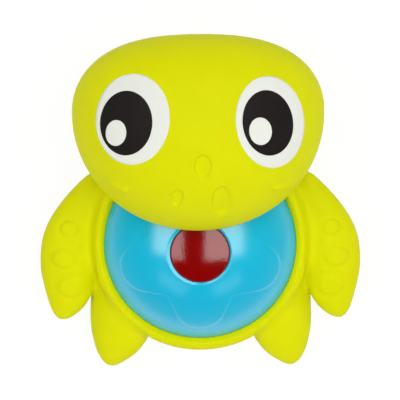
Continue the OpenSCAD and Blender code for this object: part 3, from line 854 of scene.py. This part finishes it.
def finer(piece, low, high, cuts):
    """Subdivide the skin that falls in one box of the photograph."""
    spot = seen(points_of(piece) * MM)
    chosen = facing(piece) & (spot > low).all(axis=1) & (spot < high).all(axis=1)
    open_points(piece, chosen)
    bpy.ops.mesh.subdivide(number_cuts=cuts, smoothness=1)
    close()


def photo_oval(piece, oval):
    """How far points lie from an oval in the photograph, where 1 is its edge."""
    x, y, half_x, half_y, lean = oval
    spot = seen(points_of(piece) * MM)
    a = math.radians(lean)
    dx = spot[:, 0] - x
    dy = spot[:, 1] - y
    across = dx * math.cos(a) + dy * math.sin(a)
    along = dy * math.cos(a) - dx * math.sin(a)
    return np.where(facing(piece), np.hypot(across / half_x, along / half_y), FAR_OFF)


for low, high, cuts in FINE_BOXES:
    finer(head, low, high, cuts)
for dimple in DIMPLES:
    share = photo_oval(head, dimple)
    lip = DIMPLE_LIP * eased_step(1 - np.abs(share - DIMPLE_LIP_AT) / DIMPLE_LIP_WIDE)
    emboss(head, lip - DIMPLE_DEEP * eased_step((DIMPLE_EDGE - share) / DIMPLE_SOFT))
for start, end in CREASES:
    spot = seen(points_of(head) * MM) - np.array(start)
    line = np.array(end) - np.array(start)
    length = np.linalg.norm(line)
    along = spot @ line / length
    aside = np.abs(spot @ np.array([-line[1], line[0]])) / length
    below = aside * np.sign(spot[:, 1] - along * line[1] / length)
    step = np.clip((below + CREASE_EDGE) / (2 * CREASE_EDGE), 0, 1)
    fade = np.clip(1 - below / CREASE_FADE, 0, 1) ** 2
    from_start = np.clip(along / length / CREASE_RISE, 0, 1)
    to_end = np.clip((length - along) / CREASE_EDGE + 1, 0, 1)
    emboss(head, CREASE_STEP * (step * fade * (from_start * to_end * facing(head))))
dress(head, lime_vinyl, "vinyl_lime", "toy_body", "head_skin")

# %% [markdown]
# ## The printed eyes
# The eyes are pad-printed in three layers: white, then black, then a white glint. Each layer is a
# circle filled with a grid, stretched to its oval and laid on the head with a shrinkwrap that
# projects along the view, just as a soft printing pad comes down on the face. Solidify gives the
# ink its thin edge, and each layer lies a little higher than the one below. An oval is given by its
# middle and half lengths in the photograph, its lean in degrees, its ink and its lift off the skin.

# %% Eye prints
EYE_PLANE = 62
PRINT_ABOVE = 20
INK_T = 0.08
PRINTS = [
    ("left_eye_white", (132.6, 119.4), (37.4, 45.5), -3, ink_white, "ink_white", 0.06),
    ("right_eye_white", (270.4, 122), (34.8, 46), 5.5, ink_white, "ink_white", 0.06),
    ("left_pupil", (126.1, 123.2), (26.5, 32.2), -2, ink_black, "ink_black", 0.12),
    ("right_pupil", (268, 123), (25.6, 32.7), 7, ink_black, "ink_black", 0.12),
    ("left_glint", (115.9, 133), (10.5, 12.9), -4, ink_white, "ink_white", 0.18),
    ("right_glint", (260.4, 131.5), (11.4, 13.7), 4, ink_white, "ink_white", 0.18),
]


def photo_point(px, height):
    """The point at a height in millimetres that falls at a pixel of the photograph."""
    step = PX / (eye_point - aim).length
    ray = sideways * (px[0] - FRAME_PX / 2) * step + upwards * (FRAME_PX / 2 - px[1]) * step - back
    return eye_point + ray * ((height * MM - eye_point.z) / ray.z)


for name, middle, half, lean, ink, slot, lift in PRINTS:
    centre = photo_point(middle, EYE_PLANE)
    scale = (photo_point((middle[0] + 1, middle[1]), EYE_PLANE) - centre).length
    bpy.ops.object.select_all(action="DESELECT")
    bpy.ops.mesh.primitive_circle_add(vertices=128, radius=1)
    layer = bpy.context.object
    layer.name = name + "_print"
    open_all(layer)
    bpy.ops.mesh.fill_grid(span=32)
    bpy.ops.mesh.select_all(action="SELECT")
    bpy.ops.transform.resize(value=(half[0] * scale, half[1] * scale, 1), center_override=(0, 0, 0))
    close()
    layer.matrix_world = (Matrix.Translation(centre + back * (PRINT_ABOVE * MM)) @ camera_turn
                          @ Matrix.Rotation(math.radians(lean), 4, "Z"))
    shape_with(layer, "SHRINKWRAP", target=head, wrap_method="PROJECT", use_project_z=True,
               use_positive_direction=False, use_negative_direction=True, offset=lift * MM)
    choose(layer)
    bpy.ops.object.transform_apply(location=True, rotation=True, scale=True)
    shape_with(layer, "SOLIDIFY", thickness=INK_T * MM, offset=-1)
    dress(layer, ink, slot, "toy_body", name)

# %% [markdown]
# ## The shell
# The shell is a hard, glossy dome with a faint raised flower and a hole for the button, which has a
# bevel round it. The ring of the hole is given by radii and by how far each lies under the dome. The
# section is spun in fine steps, because a glossy surface shows every facet.

# %% Shell dome
EDGE_R = 32.97
HOLE_R = 10.4
HOLE_RING = [(10.16, 1.1), (10.16, 0.7), (10.2, 0.55), (10.28, 0.47), (10.4, 0.4), (10.55, 0.32),
             (10.7, 0.235), (10.82, 0.165), (10.92, 0.105), (11, 0.055), (11.08, 0.02)]
RING_LOW = 1.2
RING_R = 11.2
DOME_T = 2.2
SLEEVE_R = 13.1
SEAL_R = 11.8
SEAL_DROP = 1.6
SEAL_T = 1.4
FLANGE_OUT = 34.8
FLANGE_LOW = 20.8
FLANGE_GAP = 0.1
FLANGE_HIGH = FLANGE_TOP - FLANGE_GAP
STOP_DROP = 5.5
STOP_GAP = 0.3
BUTTON_R = 10.1


def dome_height(radius, sink=0):
    """Height of the dome's outside at a radius, or of the ball that lies a depth under it."""
    return BALL_H + math.sqrt((BALL_R - sink) ** 2 - radius ** 2)


STOP_TOP = dome_height(BUTTON_R) - STOP_DROP
SLEEVE_LOW = STOP_TOP + STOP_GAP
seal_top = dome_height(HOLE_R) - SEAL_DROP
shell_section = [(HOLE_R, SLEEVE_LOW), (HOLE_R, seal_top - SEAL_T), (SEAL_R, seal_top - SEAL_T),
                 (SEAL_R, seal_top), (HOLE_R, seal_top), (HOLE_R, dome_height(HOLE_R) - RING_LOW)]
shell_section += [(r, dome_height(r) - sink) for r, sink in HOLE_RING]
shell_section += [(r, dome_height(r)) for r in np.linspace(RING_R, EDGE_R, 94)]
shell_section += [(EDGE_R, FLANGE_HIGH), (FLANGE_OUT, FLANGE_HIGH), (FLANGE_OUT, FLANGE_LOW),
                  (SKIRT_R, FLANGE_LOW)]
shell_section += [(r, dome_height(r, DOME_T)) for r in np.linspace(SKIRT_R, SLEEVE_R, 24)]
shell_section += [(SLEEVE_R, SLEEVE_LOW), (HOLE_R, SLEEVE_LOW)]
shell = spin_section("shell_dome_piece", shell_section, steps=400)
report(shell)

# %% [markdown]
# The button sits a little to one side of the bevel, which is wider on the left. The bevel's outer
# edge is moved sideways by a share that fades out on both sides of it, and the points keep their
# depth under the dome's ball.

# %% Bevel moved aside
BALL_MIDDLE = np.array([0, 0, BALL_H])
BEVEL_ASIDE = -0.32
BEVEL_DEEP = 1.2
BEVEL_START = 10.3
BEVEL_GROW = 0.7
BEVEL_END = 14.5
BEVEL_FADE = 3.4
BEVEL_NEAR = 15
BEVEL_SLACK = 0.1

spots = points_of(shell)
flat_far = np.hypot(spots[:, 0], spots[:, 1])
sunk = BALL_R - np.linalg.norm(spots - BALL_MIDDLE, axis=1)
above = spots[:, 2] > dome_height(BEVEL_NEAR) - BEVEL_SLACK
on_top = (flat_far < BEVEL_NEAR) & above & (sunk < BEVEL_DEEP)
share = (eased_step((flat_far - BEVEL_START) / BEVEL_GROW)
         * eased_step((BEVEL_END - flat_far) / BEVEL_FADE) * on_top)
spots[:, 0] += BEVEL_ASIDE * share
from_ball = spots - BALL_MIDDLE
scale = (BALL_R - sunk) / np.linalg.norm(from_ball, axis=1)
move_points(shell, BALL_MIDDLE + from_ball * scale[:, None])
print("bevel points moved:", int((share > 0).sum()))

# %% [markdown]
# The flower has five petals that widen towards the middle, like a hull over a small round end and a
# larger round middle. Points inside are raised along the dome's own normal, with a soft edge that
# catches the light as a thin line.

# %% Flower on the shell
PETALS = 5
PETAL_FIRST = 270
PETAL_R = 8.5
PETAL_REACH = 19.75
FLOWER_R = 15.9
PETAL_H = 0.17
PETAL_EDGE = 0.75
PETAL_SKIN = 1.1
NOTCH_EASE = 0.6

spots = points_of(shell)
from_ball = spots - BALL_MIDDLE
ball_far = np.linalg.norm(from_ball, axis=1)
taper = math.asin((FLOWER_R - PETAL_R) / PETAL_REACH)
inside_flower = np.full(len(spots), -FAR_OFF, dtype=float)
for petal in range(PETALS):
    a = math.radians(PETAL_FIRST + 360 * petal / PETALS)
    past = spots[:, 0] * math.cos(a) + spots[:, 1] * math.sin(a) - PETAL_REACH
    aside = np.abs(spots[:, 1] * math.cos(a) - spots[:, 0] * math.sin(a))
    inside_petal = PETAL_R - past * math.sin(taper) - aside * math.cos(taper)
    at_end = past * math.cos(taper) > aside * math.sin(taper)
    inside_petal[at_end] = PETAL_R - np.hypot(past, aside)[at_end]
    behind = (past + PETAL_REACH) * math.cos(taper) < aside * math.sin(taper)
    inside_petal[behind] = FLOWER_R - np.hypot(past + PETAL_REACH, aside)[behind]
    inside_flower = -eased_least(-inside_flower, -inside_petal, NOTCH_EASE)
rise = eased_step(inside_flower / PETAL_EDGE + 0.5) * PETAL_H * (ball_far > BALL_R - PETAL_SKIN)
move_points(shell, spots + from_ball / ball_far[:, None] * rise[:, None])
print("flower raised by", PETAL_H, "mm on", int((rise > 0).sum()), "points")

# %% [markdown]
# Three bosses under the shell carry the tray of the squeaker. Each is a post joined on with a
# boolean, and a bore for its screw is then taken out. Their tops follow the middle of the dome's
# wall.

# %% Bosses under the shell
BULB_DROP = 2.8
BULB_L = 14
BULB_TOP = STOP_TOP - BULB_DROP
BULB_LOW = BULB_TOP - BULB_L
BOSSES = 3
BOSS_REACH = 21.5
BOSS_R = 3.15
BORE_R = 1.35
BORE_L = 7
BORE_OVER = 1

boss_top = dome_height(BOSS_REACH - BOSS_R, DOME_T / 2)
for i in range(BOSSES):
    a = 2 * math.pi * i / BOSSES
    x = BOSS_REACH * math.cos(a) * MM
    y = BOSS_REACH * math.sin(a) * MM
    for radius, low, high, work in ((BOSS_R, BULB_LOW, boss_top, "UNION"),
                                    (BORE_R, BULB_LOW - BORE_OVER, BULB_LOW + BORE_L, "DIFFERENCE")):
        bpy.ops.object.select_all(action="DESELECT")
        bpy.ops.mesh.primitive_cylinder_add(vertices=48, radius=radius * MM, depth=(high - low) * MM,
                                            location=(x, y, (low + high) / 2 * MM))
        post = bpy.context.object
        bpy.ops.object.transform_apply(location=True, rotation=True, scale=True)
        ends = points_of(post)
        in_wall = BALL_H + np.sqrt((BALL_R - DOME_T / 2) ** 2 - (ends[:, :2] ** 2).sum(axis=1))
        ends[:, 2] = np.minimum(ends[:, 2], in_wall)
        move_points(post, ends)
        shape_with(shell, "BOOLEAN", object=post, operation=work, solver="EXACT")
        bpy.data.objects.remove(post)
dress(shell, shell_blue, "dome_blue", "toy_body", "shell_dome")

# %% [markdown]
# ## The button
# The button is a flatly domed cup with a rounded edge, flush with the shell. Below it has a flange
# that stops it in the sleeve, and a presser that reaches for the bulb. It is spun from one section.

# %% Button
EDGE_ROUND = 0.6
EDGE_TURN = 81
BUTTON_BEND = 62
BUTTON_T = 2.2
STOP_T = 1.5
STOP_R = 12
STOP_LOW = STOP_TOP - STOP_T
PRESSER_R = 4.5
PRESSER_L = 1
PRESSER_EDGE = 0.3
PRESSER_LOW = STOP_LOW - PRESSER_L


def button_height(radius):
    """Height of the button's top, which is flatter than the dome and level with it at the edge."""
    rise = math.sqrt(BUTTON_BEND ** 2 - radius ** 2) - math.sqrt(BUTTON_BEND ** 2 - BUTTON_R ** 2)
    return dome_height(BUTTON_R) + rise


button_section = [(0, PRESSER_LOW), (PRESSER_R - PRESSER_EDGE, PRESSER_LOW),
                  (PRESSER_R, PRESSER_LOW + PRESSER_EDGE)]
button_section += [(r, dome_height(r, BUTTON_T)) for r in np.linspace(PRESSER_R, BUTTON_R - BUTTON_T, 10)]
button_section += [(BUTTON_R - BUTTON_T, STOP_LOW), (STOP_R, STOP_LOW), (STOP_R, STOP_TOP),
                   (BUTTON_R, STOP_TOP)]
edge_middle = (BUTTON_R - EDGE_ROUND, button_height(BUTTON_R - EDGE_ROUND) - EDGE_ROUND)
button_section += arc(edge_middle, EDGE_ROUND, 0, EDGE_TURN, steps=9)
button_section += [(r, button_height(r)) for r in np.linspace(BUTTON_R - EDGE_ROUND, 0, 40)]
button = spin_section("push_button_piece", button_section, steps=192)
dress(button, button_red, "button_red", "push_button", "button")

# %% [markdown]
# ## The bulb
# Under the button stands a small bellows bulb of thin vinyl, which the button squeezes. Its pleats
# are rounded, so the edges of the spun zigzag get a bevel. On the toy it flattens towards the tray as
# the button goes in; here it is made at rest.

# %% Bellows bulb
BULB_R = 13
PLEAT_D = 2.2
PLEAT_ROUND = 0.4
FOLDS = 6
BULB_T = 1.0
BULB_MOUTH_R = 7.3

folds = []
for i in range(FOLDS + 1):
    fold_in = PLEAT_D if i % 2 == 0 else 0
    folds.append((BULB_R - fold_in, BULB_LOW + (BULB_TOP - BULB_LOW) * i / FOLDS))
inner_r = BULB_R - PLEAT_D - BULB_T
bulb_section = folds + [(0, BULB_TOP), (0, BULB_TOP - BULB_T), (inner_r, BULB_TOP - BULB_T)]
bulb_section += [(r - BULB_T, h) for r, h in folds[-2:0:-1]]
bulb_section += [(inner_r, BULB_LOW + BULB_T), (BULB_MOUTH_R, BULB_LOW + BULB_T),
                 (BULB_MOUTH_R, BULB_LOW), folds[0]]
bulb = spin_section("bellows_bulb", bulb_section, steps=64)
shape_with(bulb, "BEVEL", width=PLEAT_ROUND * MM, segments=3, limit_method="ANGLE",
           angle_limit=math.radians(30))
dress(bulb, bulb_vinyl, "bulb_vinyl", "toy_body", "squeaker_bulb")
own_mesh(bulb)

# %% [markdown]
# ## The pieces inside
# The collar, the seals, the tray with its screws, and the reed with its plug and cap sit inside and
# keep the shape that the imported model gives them. Each gets the finish of what it is made of.

# %% Finishes of the inner pieces
INNER = {"neck_collar": lime_vinyl, "dome_gasket": seal_rubber, "button_seal": seal_rubber,
         "squeaker_tray": inner_plastic, "tray_screws": screw_steel, "reed_plug": inner_plastic,
         "reed": inner_plastic, "reed_cap": inner_plastic}
for name, material in INNER.items():
    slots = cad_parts[name].data.materials
    slots.clear()
    slots.append(material)
print("inner pieces:", sorted(INNER))

# %% [markdown]
# ## The last update
# The view layer is brought up to date once more, after all the pieces are dressed.

# %% Update
bpy.context.view_layer.update()
